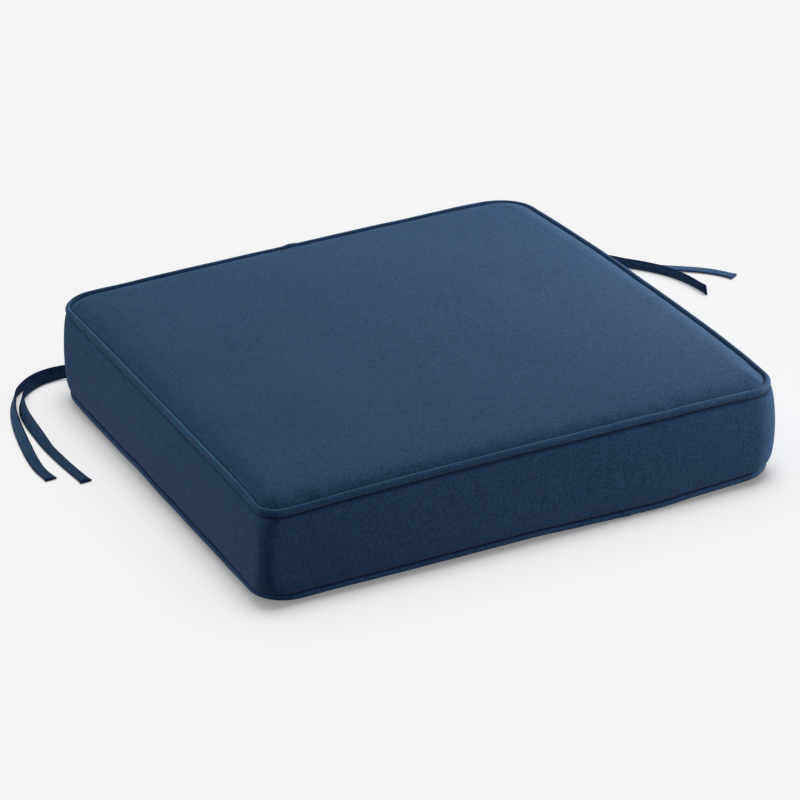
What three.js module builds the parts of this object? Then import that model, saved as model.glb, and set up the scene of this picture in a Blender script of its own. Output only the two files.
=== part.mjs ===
// A boxed chair cushion: crowned top and bottom panels, a bulging boxing strip between them,
// covered piping sewn into both seams, and a pair of flat fabric ties at each back corner.
// Millimetres, +Z up, front edge towards -Y.
// The origin is on the ground under the middle of the padded box.
import * as THREE from "three";

// Padded box, measured between the middles of the piping
const FRONT_WIDTH = 508;
const BACK_WIDTH = 476;
const DEPTH = 460;
const BOXING_HEIGHT = 86;
const CORNER_STEPS = 8;
const SIDE_STEPS = 9;
const BOTTOM_DRAWN_IN = 1.8; // the bottom seam lies this much further in than the top seam

// Corners, anticlockwise seen from above, and how far the middle of the side that
// follows each one stands out past its ends
const CORNERS = [
  { x: -FRONT_WIDTH / 2, y: -DEPTH / 2, radius: 34, nextSideBow: 1.8 },
  { x: FRONT_WIDTH / 2, y: -DEPTH / 2, radius: 35, nextSideBow: 2.6 },
  { x: BACK_WIDTH / 2, y: DEPTH / 2, radius: 34, nextSideBow: 0.4 },
  { x: -BACK_WIDTH / 2, y: DEPTH / 2, radius: 32, nextSideBow: -1.4 },
];

// Boxing strip: how far it swells past the piping line
const SIDE_SWELL = 5;
const CORNER_SWELL = 11;
const CORNER_REACH = 55;
const BOXING_LEVELS = 7;
const BOXING_ROUNDNESS = 0.8; // under 1 the swell starts steeply beside each seam

// Panels
const CROWN = 8; // slow dome over the whole top panel
const EDGE_PUFF = 6.5; // quick rise of the filling beside the piping
const EDGE_REACH = 8;
const DOME_POWER = 2.4; // over 2 the dome is flatter in the middle
const PANEL_RINGS = [1, 0.98, 0.95, 0.9, 0.8, 0.64, 0.42];

// Piping
const PIPING_RADIUS = 3.9;
const PIPING_SIDES = 8;
const BOTTOM_SEAM_HEIGHT = 8;
const TOP_SEAM_HEIGHT = BOTTOM_SEAM_HEIGHT + BOXING_HEIGHT;

// The groove that each piping lies in, from the panel round to the boxing:
// inset from the piping's middle line, and height away from the middle of the box
const SEAM_GROOVE = [
  { inset: 6.2, away: 2.8 },
  { inset: 4.8, away: 1.2 },
  { inset: 4.8, away: -1.6 },
  { inset: 1.0, away: -4.9 },
];

// The underside, pressed flat by the cushion's own weight
const UNDERSIDE = [
  { inset: 44, height: 0 },
  { inset: 30, height: 0.7 },
  { inset: 16, height: 2.4 },
];

// Ties: strips of folded and stitched cloth
const TIE_WIDTH = 10;
const TIE_THICKNESS = 1.6;
const TIE_EDGE_CHAMFER = 0.45;
const TIE_STEP = 7;

// Route of the middle of each tie, from the bottom seam to the free end.
// lift is the height of its lowest edge over the ground, lean the angle of its width:
// 0 degrees lies flat, and 90 stands on edge.
const TIE_ROUTES = {
  tie_left_long: [
    { x: -197, y: 228.7, lift: 12.2, lean: 0 },
    { x: -197.2, y: 234.5, lift: 12.2, lean: 0 },
    { x: -198.2, y: 243, lift: 8.8, lean: 12 },
    { x: -202, y: 252, lift: 3.6, lean: 42 },
    { x: -210, y: 259.5, lift: 1, lean: 76 },
    { x: -222, y: 263.5, lift: 0.3, lean: 90 },
    { x: -236, y: 264.5, lift: 0.2, lean: 90 },
    { x: -251, y: 261.5, lift: 0.2, lean: 90 },
    { x: -266, y: 253.5, lift: 0.2, lean: 88 },
    { x: -280.5, y: 240.5, lift: 0.2, lean: 80 },
    { x: -291, y: 223, lift: 0.2, lean: 62 },
    { x: -298.5, y: 203, lift: 0.3, lean: 40 },
    { x: -304.5, y: 178, lift: 0.3, lean: 20 },
    { x: -310.5, y: 148, lift: 0.3, lean: 6 },
    { x: -315.5, y: 119, lift: 0.3, lean: 0 },
    { x: -318.5, y: 98, lift: 0.3, lean: 0 },
    { x: -318, y: 77, lift: 0.3, lean: 0 },
  ],
  tie_left_short: [
    { x: -208.5, y: 228.7, lift: 12.2, lean: 0 },
    { x: -208.8, y: 234.5, lift: 12.1, lean: 2 },
    { x: -210.5, y: 243.5, lift: 7.6, lean: 26 },
    { x: -215, y: 250.5, lift: 3, lean: 60 },
    { x: -224, y: 255.3, lift: 0.7, lean: 84 },
    { x: -237, y: 256, lift: 0.2, lean: 90 },
    { x: -252, y: 252.5, lift: 0.2, lean: 90 },
    { x: -267.5, y: 243, lift: 0.2, lean: 88 },
    { x: -280.5, y: 227, lift: 0.2, lean: 74 },
    { x: -288.5, y: 206.5, lift: 0.3, lean: 48 },
    { x: -292.5, y: 184, lift: 0.3, lean: 24 },
    { x: -294.5, y: 160, lift: 0.3, lean: 7 },
    { x: -295.5, y: 135, lift: 0.3, lean: 0 },
    { x: -295.5, y: 111, lift: 0.3, lean: 0 },
    { x: -294.5, y: 85, lift: 0.3, lean: 0 },
    { x: -292.5, y: 57, lift: 0.4, lean: 0 },
  ],
  tie_right_long: [
    { x: 197, y: 228.7, lift: 12.2, lean: 0 },
    { x: 197.3, y: 234.5, lift: 12.2, lean: 0 },
    { x: 199, y: 244, lift: 8.6, lean: -14 },
    { x: 204.5, y: 254, lift: 3.4, lean: -46 },
    { x: 215, y: 263.5, lift: 0.9, lean: -78 },
    { x: 230, y: 270, lift: 0.2, lean: -90 },
    { x: 249, y: 272, lift: 0.2, lean: -90 },
    { x: 271, y: 270, lift: 0.2, lean: -90 },
    { x: 293, y: 264, lift: 0.2, lean: -90 },
    { x: 314, y: 253.5, lift: 0.2, lean: -88 },
    { x: 334, y: 239, lift: 0.2, lean: -80 },
    { x: 351, y: 223.5, lift: 0.2, lean: -58 },
    { x: 366, y: 209.5, lift: 0.3, lean: -32 },
    { x: 381, y: 197, lift: 0.3, lean: -12 },
    { x: 397, y: 185.5, lift: 0.3, lean: 0 },
    { x: 412, y: 173.5, lift: 0.3, lean: 0 },
    { x: 424, y: 160.5, lift: 0.3, lean: 0 },
    { x: 433.5, y: 145.5, lift: 0.4, lean: 0 },
  ],
  tie_right_short: [
    { x: 208.5, y: 228.7, lift: 12.2, lean: 0 },
    { x: 208.9, y: 234.5, lift: 12.1, lean: -2 },
    { x: 211.5, y: 244.5, lift: 7.4, lean: -28 },
    { x: 218, y: 253, lift: 2.8, lean: -62 },
    { x: 230, y: 260, lift: 0.6, lean: -85 },
    { x: 248, y: 263, lift: 0.2, lean: -90 },
    { x: 270, y: 261.5, lift: 0.2, lean: -90 },
    { x: 292, y: 256, lift: 0.2, lean: -90 },
    { x: 314, y: 246, lift: 0.2, lean: -90 },
    { x: 335, y: 231, lift: 0.2, lean: -90 },
    { x: 353, y: 213.5, lift: 0.2, lean: -90 },
    { x: 368, y: 195, lift: 0.2, lean: -90 },
    { x: 379, y: 176, lift: 0.2, lean: -88 },
    { x: 386, y: 154, lift: 0.2, lean: -84 },
    { x: 390, y: 125, lift: 0.2, lean: -80 },
  ],
};

const panelCloth = new THREE.MeshStandardMaterial({ color: 0x2f4a6b, roughness: 0.9, metalness: 0 });
const pipingCloth = new THREE.MeshStandardMaterial({ color: 0x2b4566, roughness: 0.88, metalness: 0 });
const tieTape = new THREE.MeshStandardMaterial({ color: 0x26405f, roughness: 0.86, metalness: 0 });

// The middle line of the top piping in plan, anticlockwise from the front left corner:
// a point, its outward normal, and how much it belongs to a corner, from 0 to 1.
function seamLine() {
  const arcs = CORNERS.map((corner, i) => cornerArc(CORNERS[(i + 3) % 4], corner, CORNERS[(i + 1) % 4]));
  const line = [];
  CORNERS.forEach((corner, i) => {
    line.push(...arcs[i]);
    line.push(...bowedSide(arcs[i][CORNER_STEPS], arcs[(i + 1) % 4][0], corner.nextSideBow));
  });
  return line;
}

function cornerArc(before, corner, after) {
  const towardsBefore = new THREE.Vector2().subVectors(before, corner).normalize();
  const towardsAfter = new THREE.Vector2().subVectors(after, corner).normalize();
  const halfAngle = towardsBefore.angleTo(towardsAfter) / 2;
  const middle = towardsBefore
    .clone()
    .add(towardsAfter)
    .normalize()
    .multiplyScalar(corner.radius / Math.sin(halfAngle))
    .add(corner);
  const firstNormal = new THREE.Vector2(-towardsBefore.y, towardsBefore.x);
  const sweep = Math.PI - 2 * halfAngle;
  const arc = [];
  for (let i = 0; i <= CORNER_STEPS; i++) {
    const normal = firstNormal.clone().rotateAround(new THREE.Vector2(), (sweep * i) / CORNER_STEPS);
    const point = middle.clone().addScaledVector(normal, corner.radius);
    arc.push({ point, normal, cornerShare: 1 });
  }
  return arc;
}

// The points between the end of one corner's arc and the start of the next, bowed outwards.
function bowedSide(start, end, bow) {
  const length = start.point.distanceTo(end.point);
  const side = [];
  for (let i = 1; i < SIDE_STEPS; i++) {
    const along = i / SIDE_STEPS;
    const outwards = bow * 4 * along * (1 - along);
    const point = start.point.clone().lerp(end.point, along).addScaledVector(start.normal, outwards);
    const toCorner = Math.min(along, 1 - along) * length;
    side.push({ point, normal: start.normal, cornerShare: Math.exp(-((toCorner / CORNER_REACH) ** 2)) });
  }
  return side;
}

// How far the seams' line is drawn in at a height of the box.
function drawnIn(height) {
  return (BOTTOM_DRAWN_IN * (TOP_SEAM_HEIGHT - height)) / BOXING_HEIGHT;
}

// One closed ring of the box: the seam line moved outwards by a distance that may differ
// from place to place, at one height.
function boxRing(line, outwards, height) {
  return line.map((place) => {
    const at = place.point.clone().addScaledVector(place.normal, outwards(place));
    return new THREE.Vector3(at.x, at.y, height);
  });
}

function undersideRings(line) {
  return UNDERSIDE.map((row) => boxRing(line, () => -row.inset - BOTTOM_DRAWN_IN, row.height));
}

function boxingRings(line) {
  const groove = SEAM_GROOVE[SEAM_GROOVE.length - 1];
  const low = BOTTOM_SEAM_HEIGHT - groove.away;
  const high = TOP_SEAM_HEIGHT + groove.away;
  const swell = (place) => SIDE_SWELL + (CORNER_SWELL - SIDE_SWELL) * place.cornerShare;
  const rings = [];
  for (let i = 1; i < BOXING_LEVELS; i++) {
    const up = i / BOXING_LEVELS;
    const share = (4 * up * (1 - up)) ** BOXING_ROUNDNESS;
    const height = low + (high - low) * up;
    rings.push(boxRing(line, (place) => swell(place) * share - groove.inset - drawnIn(height), height));
  }
  return rings;
}

// The top panel: the innermost line of the groove shrunk towards the middle and raised.
function panelRings(line) {
  const edge = SEAM_GROOVE[0];
  return PANEL_RINGS.map((size) =>
    line.map((place) => {
      const rim = place.point.clone().addScaledVector(place.normal, -edge.inset);
      const fromSeam = (1 - size) * rim.dot(place.normal);
      const puff = EDGE_PUFF * (1 - Math.exp(-fromSeam / EDGE_REACH));
      const dome = CROWN * (1 - size ** DOME_POWER);
      rim.multiplyScalar(size);
      return new THREE.Vector3(rim.x, rim.y, TOP_SEAM_HEIGHT + edge.away + puff + dome);
    }),
  );
}

// A closed body through rings with the same number of points, anticlockwise seen from
// its last point, with a fan at each end.
function bodyThroughRings(firstPoint, rings, lastPoint) {
  const count = rings[0].length;
  const points = [firstPoint, ...rings.flat(), lastPoint];
  const last = points.length - 1;
  const faces = [];
  for (let i = 0; i < count; i++) {
    const next = (i + 1) % count;
    faces.push(0, 1 + next, 1 + i);
    for (let ring = 0; ring < rings.length - 1; ring++) {
      const low = 1 + ring * count;
      const high = low + count;
      faces.push(low + i, low + next, high + next);
      faces.push(low + i, high + next, high + i);
    }
    const top = last - count;
    faces.push(top + i, top + next, last);
  }
  return indexedGeometry(points, faces);
}

function indexedGeometry(points, faces) {
  const geometry = new THREE.BufferGeometry().setFromPoints(points);
  geometry.setIndex(faces);
  geometry.computeVertexNormals();
  return geometry;
}

function paddedBox(line) {
  const lowerGroove = SEAM_GROOVE.map((row) =>
    boxRing(line, () => -row.inset - BOTTOM_DRAWN_IN, BOTTOM_SEAM_HEIGHT - row.away),
  );
  const upperGroove = SEAM_GROOVE.slice(1)
    .reverse()
    .map((row) => boxRing(line, () => -row.inset, TOP_SEAM_HEIGHT + row.away));
  const rings = [
    ...undersideRings(line),
    ...lowerGroove,
    ...boxingRings(line),
    ...upperGroove,
    ...panelRings(line),
  ];
  const underMiddle = new THREE.Vector3(0, 0, 0);
  const puffedCrown = TOP_SEAM_HEIGHT + SEAM_GROOVE[0].away + EDGE_PUFF + CROWN;
  const topMiddle = new THREE.Vector3(0, 0, puffedCrown);
  return bodyThroughRings(underMiddle, rings, topMiddle);
}

// A closed ring of piping, level with the origin: its round section carried along the seam
// line, which may be drawn in, and joined end to start.
function pipingRing(line, seamDrawnIn) {
  const points = [];
  const faces = [];
  line.forEach((place, i) => {
    for (let side = 0; side < PIPING_SIDES; side++) {
      const angle = (2 * Math.PI * side) / PIPING_SIDES;
      const outwards = PIPING_RADIUS * Math.cos(angle) - seamDrawnIn;
      const at = place.point.clone().addScaledVector(place.normal, outwards);
      points.push(new THREE.Vector3(at.x, at.y, PIPING_RADIUS * Math.sin(angle)));
      const nextPlace = ((i + 1) % line.length) * PIPING_SIDES;
      const nextSide = (side + 1) % PIPING_SIDES;
      const here = i * PIPING_SIDES;
      faces.push(here + side, nextPlace + side, nextPlace + nextSide);
      faces.push(here + side, nextPlace + nextSide, here + nextSide);
    }
  });
  return indexedGeometry(points, faces);
}

// The flat section of a tie: half width and half thickness with its edges chamfered.
function tieSection() {
  const wide = TIE_WIDTH / 2;
  const thick = TIE_THICKNESS / 2;
  const cut = TIE_EDGE_CHAMFER;
  return [
    { across: wide, up: thick - cut },
    { across: wide - cut, up: thick },
    { across: -wide + cut, up: thick },
    { across: -wide, up: thick - cut },
    { across: -wide, up: -thick + cut },
    { across: -wide + cut, up: -thick },
    { across: wide - cut, up: -thick },
    { across: wide, up: -thick + cut },
  ];
}

// A tie's section carried along its route and turned by its lean.
function tieTail(route) {
  const middle = route.map(({ x, y, lift, lean }) => {
    const angle = THREE.MathUtils.degToRad(Math.abs(lean));
    const halfHeight = (TIE_WIDTH * Math.sin(angle) + TIE_THICKNESS * Math.cos(angle)) / 2;
    return new THREE.Vector3(x, y, lift + halfHeight);
  });
  const curve = new THREE.CatmullRomCurve3(middle, false, "centripetal");
  const steps = Math.round(curve.getLength() / TIE_STEP);
  const rings = [];
  for (let i = 0; i <= steps; i++) {
    const t = i / steps;
    const centre = curve.getPoint(t);
    const forwards = curve.getTangent(t);
    const left = new THREE.Vector3(-forwards.y, forwards.x, 0).normalize();
    const upright = forwards.clone().cross(left).normalize();
    const angle = THREE.MathUtils.degToRad(leanAt(route, t));
    const across = left.clone().multiplyScalar(Math.cos(angle)).addScaledVector(upright, Math.sin(angle));
    const over = forwards.clone().cross(across);
    rings.push(
      tieSection().map((corner) =>
        centre.clone().addScaledVector(across, corner.across).addScaledVector(over, corner.up),
      ),
    );
  }
  return bodyThroughRings(curve.getPoint(0), rings, curve.getPoint(1));
}

function leanAt(route, t) {
  const place = t * (route.length - 1);
  const row = Math.min(Math.floor(place), route.length - 2);
  return THREE.MathUtils.lerp(route[row].lean, route[row + 1].lean, place - row);
}

function namedMesh(name, geometry, material) {
  const mesh = new THREE.Mesh(geometry, material);
  mesh.name = name;
  return mesh;
}

function piping(line) {
  const group = new THREE.Group();
  const top = namedMesh("piping_top", pipingRing(line, 0), pipingCloth);
  top.position.z = TOP_SEAM_HEIGHT;
  const bottom = namedMesh("piping_bottom", pipingRing(line, BOTTOM_DRAWN_IN), pipingCloth);
  bottom.position.z = BOTTOM_SEAM_HEIGHT;
  group.add(top, bottom);
  return group;
}

function ties() {
  const group = new THREE.Group();
  for (const [name, route] of Object.entries(TIE_ROUTES)) {
    group.add(namedMesh(name, tieTail(route), tieTape));
  }
  return group;
}

function chairCushion() {
  const line = seamLine();
  const cushion = new THREE.Group();
  cushion.add(namedMesh("cushion", paddedBox(line), panelCloth));
  cushion.add(piping(line));
  cushion.add(ties());
  return cushion;
}

export default chairCushion();
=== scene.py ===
"""A boxed chair cushion in navy canvas, with covered piping in both seams and a pair of
flat ties at each back corner. Metres, +Z up, front edge towards -Y."""
import math
from collections import namedtuple
from itertools import product

import bmesh
import bpy
import numpy as np
from mathutils import Matrix, Vector
from mathutils.kdtree import KDTree


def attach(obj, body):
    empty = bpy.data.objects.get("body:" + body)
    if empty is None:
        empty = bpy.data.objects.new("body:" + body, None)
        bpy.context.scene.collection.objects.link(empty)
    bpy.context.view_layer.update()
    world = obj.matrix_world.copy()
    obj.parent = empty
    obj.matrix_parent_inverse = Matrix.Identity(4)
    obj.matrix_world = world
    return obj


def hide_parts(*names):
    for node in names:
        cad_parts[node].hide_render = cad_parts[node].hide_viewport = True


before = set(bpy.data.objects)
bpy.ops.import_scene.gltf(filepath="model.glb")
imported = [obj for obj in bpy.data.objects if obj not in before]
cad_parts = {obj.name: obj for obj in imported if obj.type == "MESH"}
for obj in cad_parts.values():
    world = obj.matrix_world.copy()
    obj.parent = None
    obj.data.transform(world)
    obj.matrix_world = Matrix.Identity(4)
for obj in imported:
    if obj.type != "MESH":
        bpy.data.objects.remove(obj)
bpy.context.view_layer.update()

# Camera: a long lens, looking down at the front left corner. Angles are in degrees
CAMERA_LENS_MM = 225
CAMERA_SENSOR_MM = 36
CAMERA_CLIP = (0.1, 100)
CAMERA_AZIMUTH = -27.152
CAMERA_ELEVATION = 26.865
CAMERA_ROLL = -0.671
CAMERA_DISTANCE = 4.5915
CAMERA_AIM = (0.02234, 0.05471, 0.008)

# Padded box. Each seam runs anticlockwise from the front left corner. A corner is drooped by
# droop, which fades within its two reaches; bow is how far the side after it stands out, rise
# how much that side's middle is lifted, and edge how far the boxing between the seams turns
# from the rounded corner (0) to a tight one (1)
Corner = namedtuple("Corner", "x y radius droop reach_before reach_after bow rise edge")
TOP_CORNERS = (
    Corner(-0.2532, -0.2304, 0.017, 0.0030, 0.030, 0.085, 0.0018, 0.0005, 1.0),
    Corner(0.2535, -0.2300, 0.027, 0.0022, 0.105, 0.060, 0.0050, 0.0000, 0.20),
    Corner(0.2388, 0.2312, 0.038, 0.0004, 0.050, 0.050, 0.0008, 0.0004, 0.0),
    Corner(-0.2376, 0.2310, 0.031, 0.0004, 0.050, 0.030, -0.0004, 0.0000, 0.0),
)
BOTTOM_CORNERS = (
    Corner(-0.2528, -0.2286, 0.029, 0.0004, 0.030, 0.030, 0.0012, 0.0002, 1.0),
    Corner(0.2536, -0.2284, 0.030, -0.0026, 0.028, 0.050, 0.0026, 0.0000, 0.26),
    Corner(0.2375, 0.2285, 0.042, 0.0000, 0.050, 0.050, 0.0000, 0.0000, 0.0),
    Corner(-0.2369, 0.2345, 0.038, -0.0020, 0.030, 0.030, 0.0000, -0.0006, 0.00),
)
# Dips of the bottom seam: distance along it, depth and reach
BOTTOM_DIPS = ((0.364, 0.0030, 0.064), (1.572, -0.0012, 0.026))
TOP_SEAM_HEIGHT = 0.094
BOTTOM_SEAM_HEIGHT = 0.0074
# Rings inset from a seam keep this radius at least. A bowed side is flatter the higher its power
SMALLEST_RADIUS = 0.006
SIDE_FLATNESS = 3
CORNER_STEPS = 14
WIDTH_STEPS = 168
DEPTH_STEPS = 150

# Unevenness of the seams' height
WANDER_PITCH = 0.032
WANDER = 0.0004
WANDER_SEED = 17

# Boxing strip, from the bottom seam up: height, and how far it stands out past the piping's
# middle line. Heights count as if the seams were BOXING_HEIGHT apart, and fullness is the
# furthest that the strip stands out
BOXING_HEIGHT = 0.086
BOXING_PROFILE = (
    (0.0042, 0.0006),
    (0.0048, 0.0028),
    (0.0060, 0.0042),
    (0.0086, 0.0055),
    (0.0135, 0.0066),
    (0.0240, 0.0074),
    (0.0400, 0.0076),
    (0.0560, 0.0070),
    (0.0680, 0.0060),
    (0.0752, 0.0050),
    (0.0794, 0.0040),
    (0.0812, 0.0029),
    (0.0818, 0.0006),
)
BOXING_FULLNESS = 0.0076
LEVELS_PER_STEP = 2
CORNER_SWELL_SHARE = 0.9
CORNER_REACH = 0.055
TIGHT_RADIUS = 0.005
TIGHT_POWER = 0.8
# The left side is drawn in a little over its bottom seam
LEFT_TUCK = 0.0018
LEFT_TUCK_REACH = 0.014

# The groove that the piping lies in, from the panel round to the boxing: inset from the
# piping's middle line, and height away from the middle of the box
SEAM_GROOVE = ((0.0033, 0.0010), (0.0036, -0.0006), (0.0032, -0.0024), (0.0014, -0.0040))

# Painted shade in the creases, as how much darker the cloth is painted there: under the top
# piping at the front, over the bottom piping, and on the panel beside the top piping at the
# back and right, where a painted highlight lightens the panel's rounded rim
PAINTED_SHADE_UNDER_FRONT = 0.55
PAINTED_SHADE_OVER_BOTTOM = 0.80
PAINTED_SHADE_BESIDE_PANEL = 0.52
PAINTED_SHADE_WIDTH = 0.0018
PANEL_PAINTED_SHADE_WIDTH = 0.0024
WIDER_AT_CORNERS = 0.8
RIM_PAINTED_HIGHLIGHT = 0.20
RIM_INSET = 0.0060

# Puckers that the seams draw up, swags along the boxing, and lumps of the filling, which are
# laid out over a square field
PUCKER_PITCH = 0.010
PUCKER_DEPTH = 0.00042
PUCKER_REACH = 0.007
CORNER_PUCKERS = 1.0
PANEL_PUCKER_SEED = 11
BOTTOM_PUCKER_SEED = 12
TOP_PUCKER_SEED = 13
SWAG_PITCH = 0.060
SWAG_DEPTH = 0.0007
SWAG_SEED = 14
LUMP_FIELD = 0.7
LUMP_PITCH = 0.055
LUMP_DEPTH = 0.0005
LUMP_SEED = 15

# Panels: they start beside the piping, puff up steeply and rise slowly to the middle. The far
# sides, at the back and right, start further in and rise more slowly
PANEL_START = 0.0025
PANEL_RISE = 0.0023
EDGE_PUFF = 0.0080
EDGE_REACH = 0.0046
FAR_EDGE_REACH = 0.0125
FAR_EDGE_FADE = 0.025
FRONT_START = -0.0011
FAR_START = 0.0014
FRONT_RISE = 0.0006
BACK_DROP = 0.0025
BACK_DROP_REACH = 0.0140
EDGE_STEEPNESS = 0.75
FAR_EDGE_STEEPNESS = 1.15
CROWN = 0.0078
HALF_FRONT_WIDTH = 0.254
HALF_BACK_WIDTH = 0.238
HALF_DEPTH = 0.230
DOME_POWER = 2.4
LIFT_REACH = 0.030
PANEL_RING_STEPS = (
    0.0, 0.0003, 0.0008, 0.0015, 0.0025, 0.0038, 0.0055, 0.0078, 0.0108, 0.0145, 0.019, 0.024
)
UNDERSIDE_RING_STEPS = (0.0, 0.0022, 0.005, 0.009, 0.0145, 0.022, 0.034, 0.050)
UNDERSIDE_FLAT_AFTER = 0.040
UNDERSIDE_POWER = 2.2

# Piping. Angles go round its section in degrees from straight out, through 90 for its top.
# The crest carries a painted highlight at the front and left, stronger on the left and uneven
# along the seam. A join is a place in plan and a share by which the overlap of the cloth makes
# the piping thicker
PIPING_RADIUS = 0.0033
PIPING_SIDES = 32
CREST_ANGLE = 93
CREST_WIDTH = 12
CREST_HIGHLIGHT = 1.0
LEFT_CREST_HIGHLIGHT = 2.3
# Painted shade on the piping where it turns into a crease: the angle of each crease, and how many
# degrees from it the painted shade is full and where it is gone
TOP_PAINTED_SHADE_ANGLE = 265
BOTTOM_PAINTED_SHADE_ANGLE = 95
PAINTED_SHADE_FULL = 35
PAINTED_SHADE_GONE = 62
PANEL_PAINTED_SHADE_ANGLE = 142
PIPING_PAINTED_SHADE_BESIDE_PANEL = 0.40
# How the crest's painted highlight changes in strength along the seam
HIGHLIGHT_PITCH = 0.018
HIGHLIGHT_CHANGE = 0.3
HIGHLIGHT_SEED = 16
JOIN_REACH = 0.0055
TOP_JOIN = (0.000, 0.2320, 0.30)
BOTTOM_JOIN = (0.098, -0.2284, 0.10)

# Ties: a folded strip, stitched along both edges
TIE_WIDTH = 0.0104
TIE_THICKNESS = 0.0019
TIE_STEP = 0.0025
TIE_CLEARANCE = 0.0004
TIE_STITCH_INSET = 0.0022
TIE_END_TONE = 0.28
TIE_END_FLARE = 0.14
TIE_FLARE_REACH = 0.0040
# Half of the strip's section, from its edge to near its middle: inset from the edge, share of
# the half thickness, and tone, where 1 is plain cloth: painted shade along the edge and in the
# shallow groove, and a painted highlight beside the edge. The stitches lie in the shallow groove
TIE_HALF_SECTION = (
    (0.0000, 0.00, 0.15),
    (0.0002, 0.50, 0.15),
    (0.0008, 0.86, 0.30),
    (0.0014, 1.00, 1.40),
    (0.0019, 0.76, 0.85),
    (0.0025, 0.76, 0.85),
    (0.0031, 0.97, 1.15),
    (0.0042, 1.00, 1.00),
)
STITCH_LENGTH = 0.0024
STITCH_GAP = 0.0009
STITCH_RADIUS = 0.00022
STITCH_SIDES = 6
STITCH_DEPTH = 0.38
STITCH_CLOTH_STEP = 0.001
STITCH_CLOTH_APART = 0.01
# Rings of a stitch: share of its length, share of its radius, and radii that it stands up
STITCH_SHAPE = ((0.0, 0.5, -1.5), (0.25, 1.0, 0.3), (0.75, 1.0, 0.3), (1.0, 0.5, -1.5))

# Routes of the middle of each tie, from the seam to the free end: x, y, height of the lowest
# edge over the ground, and lean of its width in degrees (0 lies flat, 90 is on edge)
TIE_ROUTES = {
    "tie_left_long": (
        (-0.197, 0.2287, 0.0122, 0),
        (-0.1972, 0.2345, 0.0122, 0),
        (-0.1982, 0.243, 0.0088, 12),
        (-0.202, 0.252, 0.0036, 42),
        (-0.21, 0.2595, 0.001, 76),
        (-0.222, 0.2635, 0.0003, 90),
        (-0.236, 0.2645, 0.0002, 90),
        (-0.251, 0.2615, 0.0002, 90),
        (-0.266, 0.2535, 0.0002, 88),
        (-0.2805, 0.2405, 0.0002, 80),
        (-0.291, 0.223, 0.0002, 62),
        (-0.2993, 0.203, 0.0003, 58),
        (-0.3063, 0.178, 0.0003, 40),
        (-0.3128, 0.148, 0.0003, 25),
        (-0.3178, 0.119, 0.0003, 8),
        (-0.3198, 0.098, 0.0003, 2),
        (-0.3184, 0.076, 0.0003, 0),
    ),
    "tie_left_short": (
        (-0.2085, 0.2287, 0.0122, 0),
        (-0.2088, 0.2345, 0.0121, 2),
        (-0.2105, 0.2435, 0.0076, 26),
        (-0.215, 0.2505, 0.003, 60),
        (-0.224, 0.2553, 0.0007, 84),
        (-0.237, 0.256, 0.0002, 90),
        (-0.252, 0.2525, 0.0002, 90),
        (-0.2675, 0.243, 0.0002, 88),
        (-0.2805, 0.227, 0.0002, 74),
        (-0.2885, 0.2065, 0.0003, 48),
        (-0.2923, 0.184, 0.0003, 36),
        (-0.294, 0.16, 0.0003, 18),
        (-0.2955, 0.135, 0.0003, 0),
        (-0.2955, 0.111, 0.0003, 0),
        (-0.2945, 0.085, 0.0003, 0),
        (-0.2925, 0.057, 0.0004, 0),
    ),
    "tie_right_long": (
        (0.197, 0.2287, 0.0122, 0),
        (0.1973, 0.2345, 0.0122, 0),
        (0.199, 0.244, 0.0086, -14),
        (0.2045, 0.254, 0.0034, -46),
        (0.215, 0.2635, 0.0009, -78),
        (0.23, 0.27, 0.0002, -90),
        (0.249, 0.272, 0.0002, -90),
        (0.271, 0.27, 0.0002, -90),
        (0.293, 0.264, 0.0002, -90),
        (0.314, 0.2535, 0.0002, -88),
        (0.334, 0.239, 0.0002, -80),
        (0.351, 0.2235, 0.0002, -58),
        (0.366, 0.2095, 0.0003, -32),
        (0.381, 0.197, 0.0003, -12),
        (0.397, 0.1855, 0.0003, 0),
        (0.412, 0.1735, 0.0003, 0),
        (0.424, 0.1605, 0.0003, 0),
        (0.4335, 0.1455, 0.0004, 0),
    ),
    "tie_right_short": (
        (0.2085, 0.2287, 0.0122, 0),
        (0.2089, 0.2345, 0.0121, -2),
        (0.2115, 0.2445, 0.0074, -28),
        (0.218, 0.253, 0.0028, -62),
        (0.23, 0.26, 0.0006, -85),
        (0.248, 0.263, 0.0002, -90),
        (0.27, 0.2615, 0.0002, -90),
        (0.292, 0.256, 0.0002, -90),
        (0.314, 0.246, 0.0002, -90),
        (0.335, 0.231, 0.0002, -90),
        (0.353, 0.2135, 0.0002, -90),
        (0.368, 0.195, 0.0002, -90),
        (0.379, 0.176, 0.0002, -88),
        (0.386, 0.154, 0.0002, -84),
        (0.39, 0.125, 0.0002, -80),
    ),
}

# Finishes. The bias angle turns the weave, roughness and sheen go to the shader, and relief is
# the strength of the weave's bump
Finish = namedtuple("Finish", "name colour thread_pitch bias_angle roughness sheen relief")
NAVY = (0.0242, 0.0815, 0.190, 1.0)
TIE_NAVY = (0.031, 0.080, 0.172, 1.0)
THREAD_BLUE = (0.055, 0.12, 0.23, 1.0)
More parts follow.
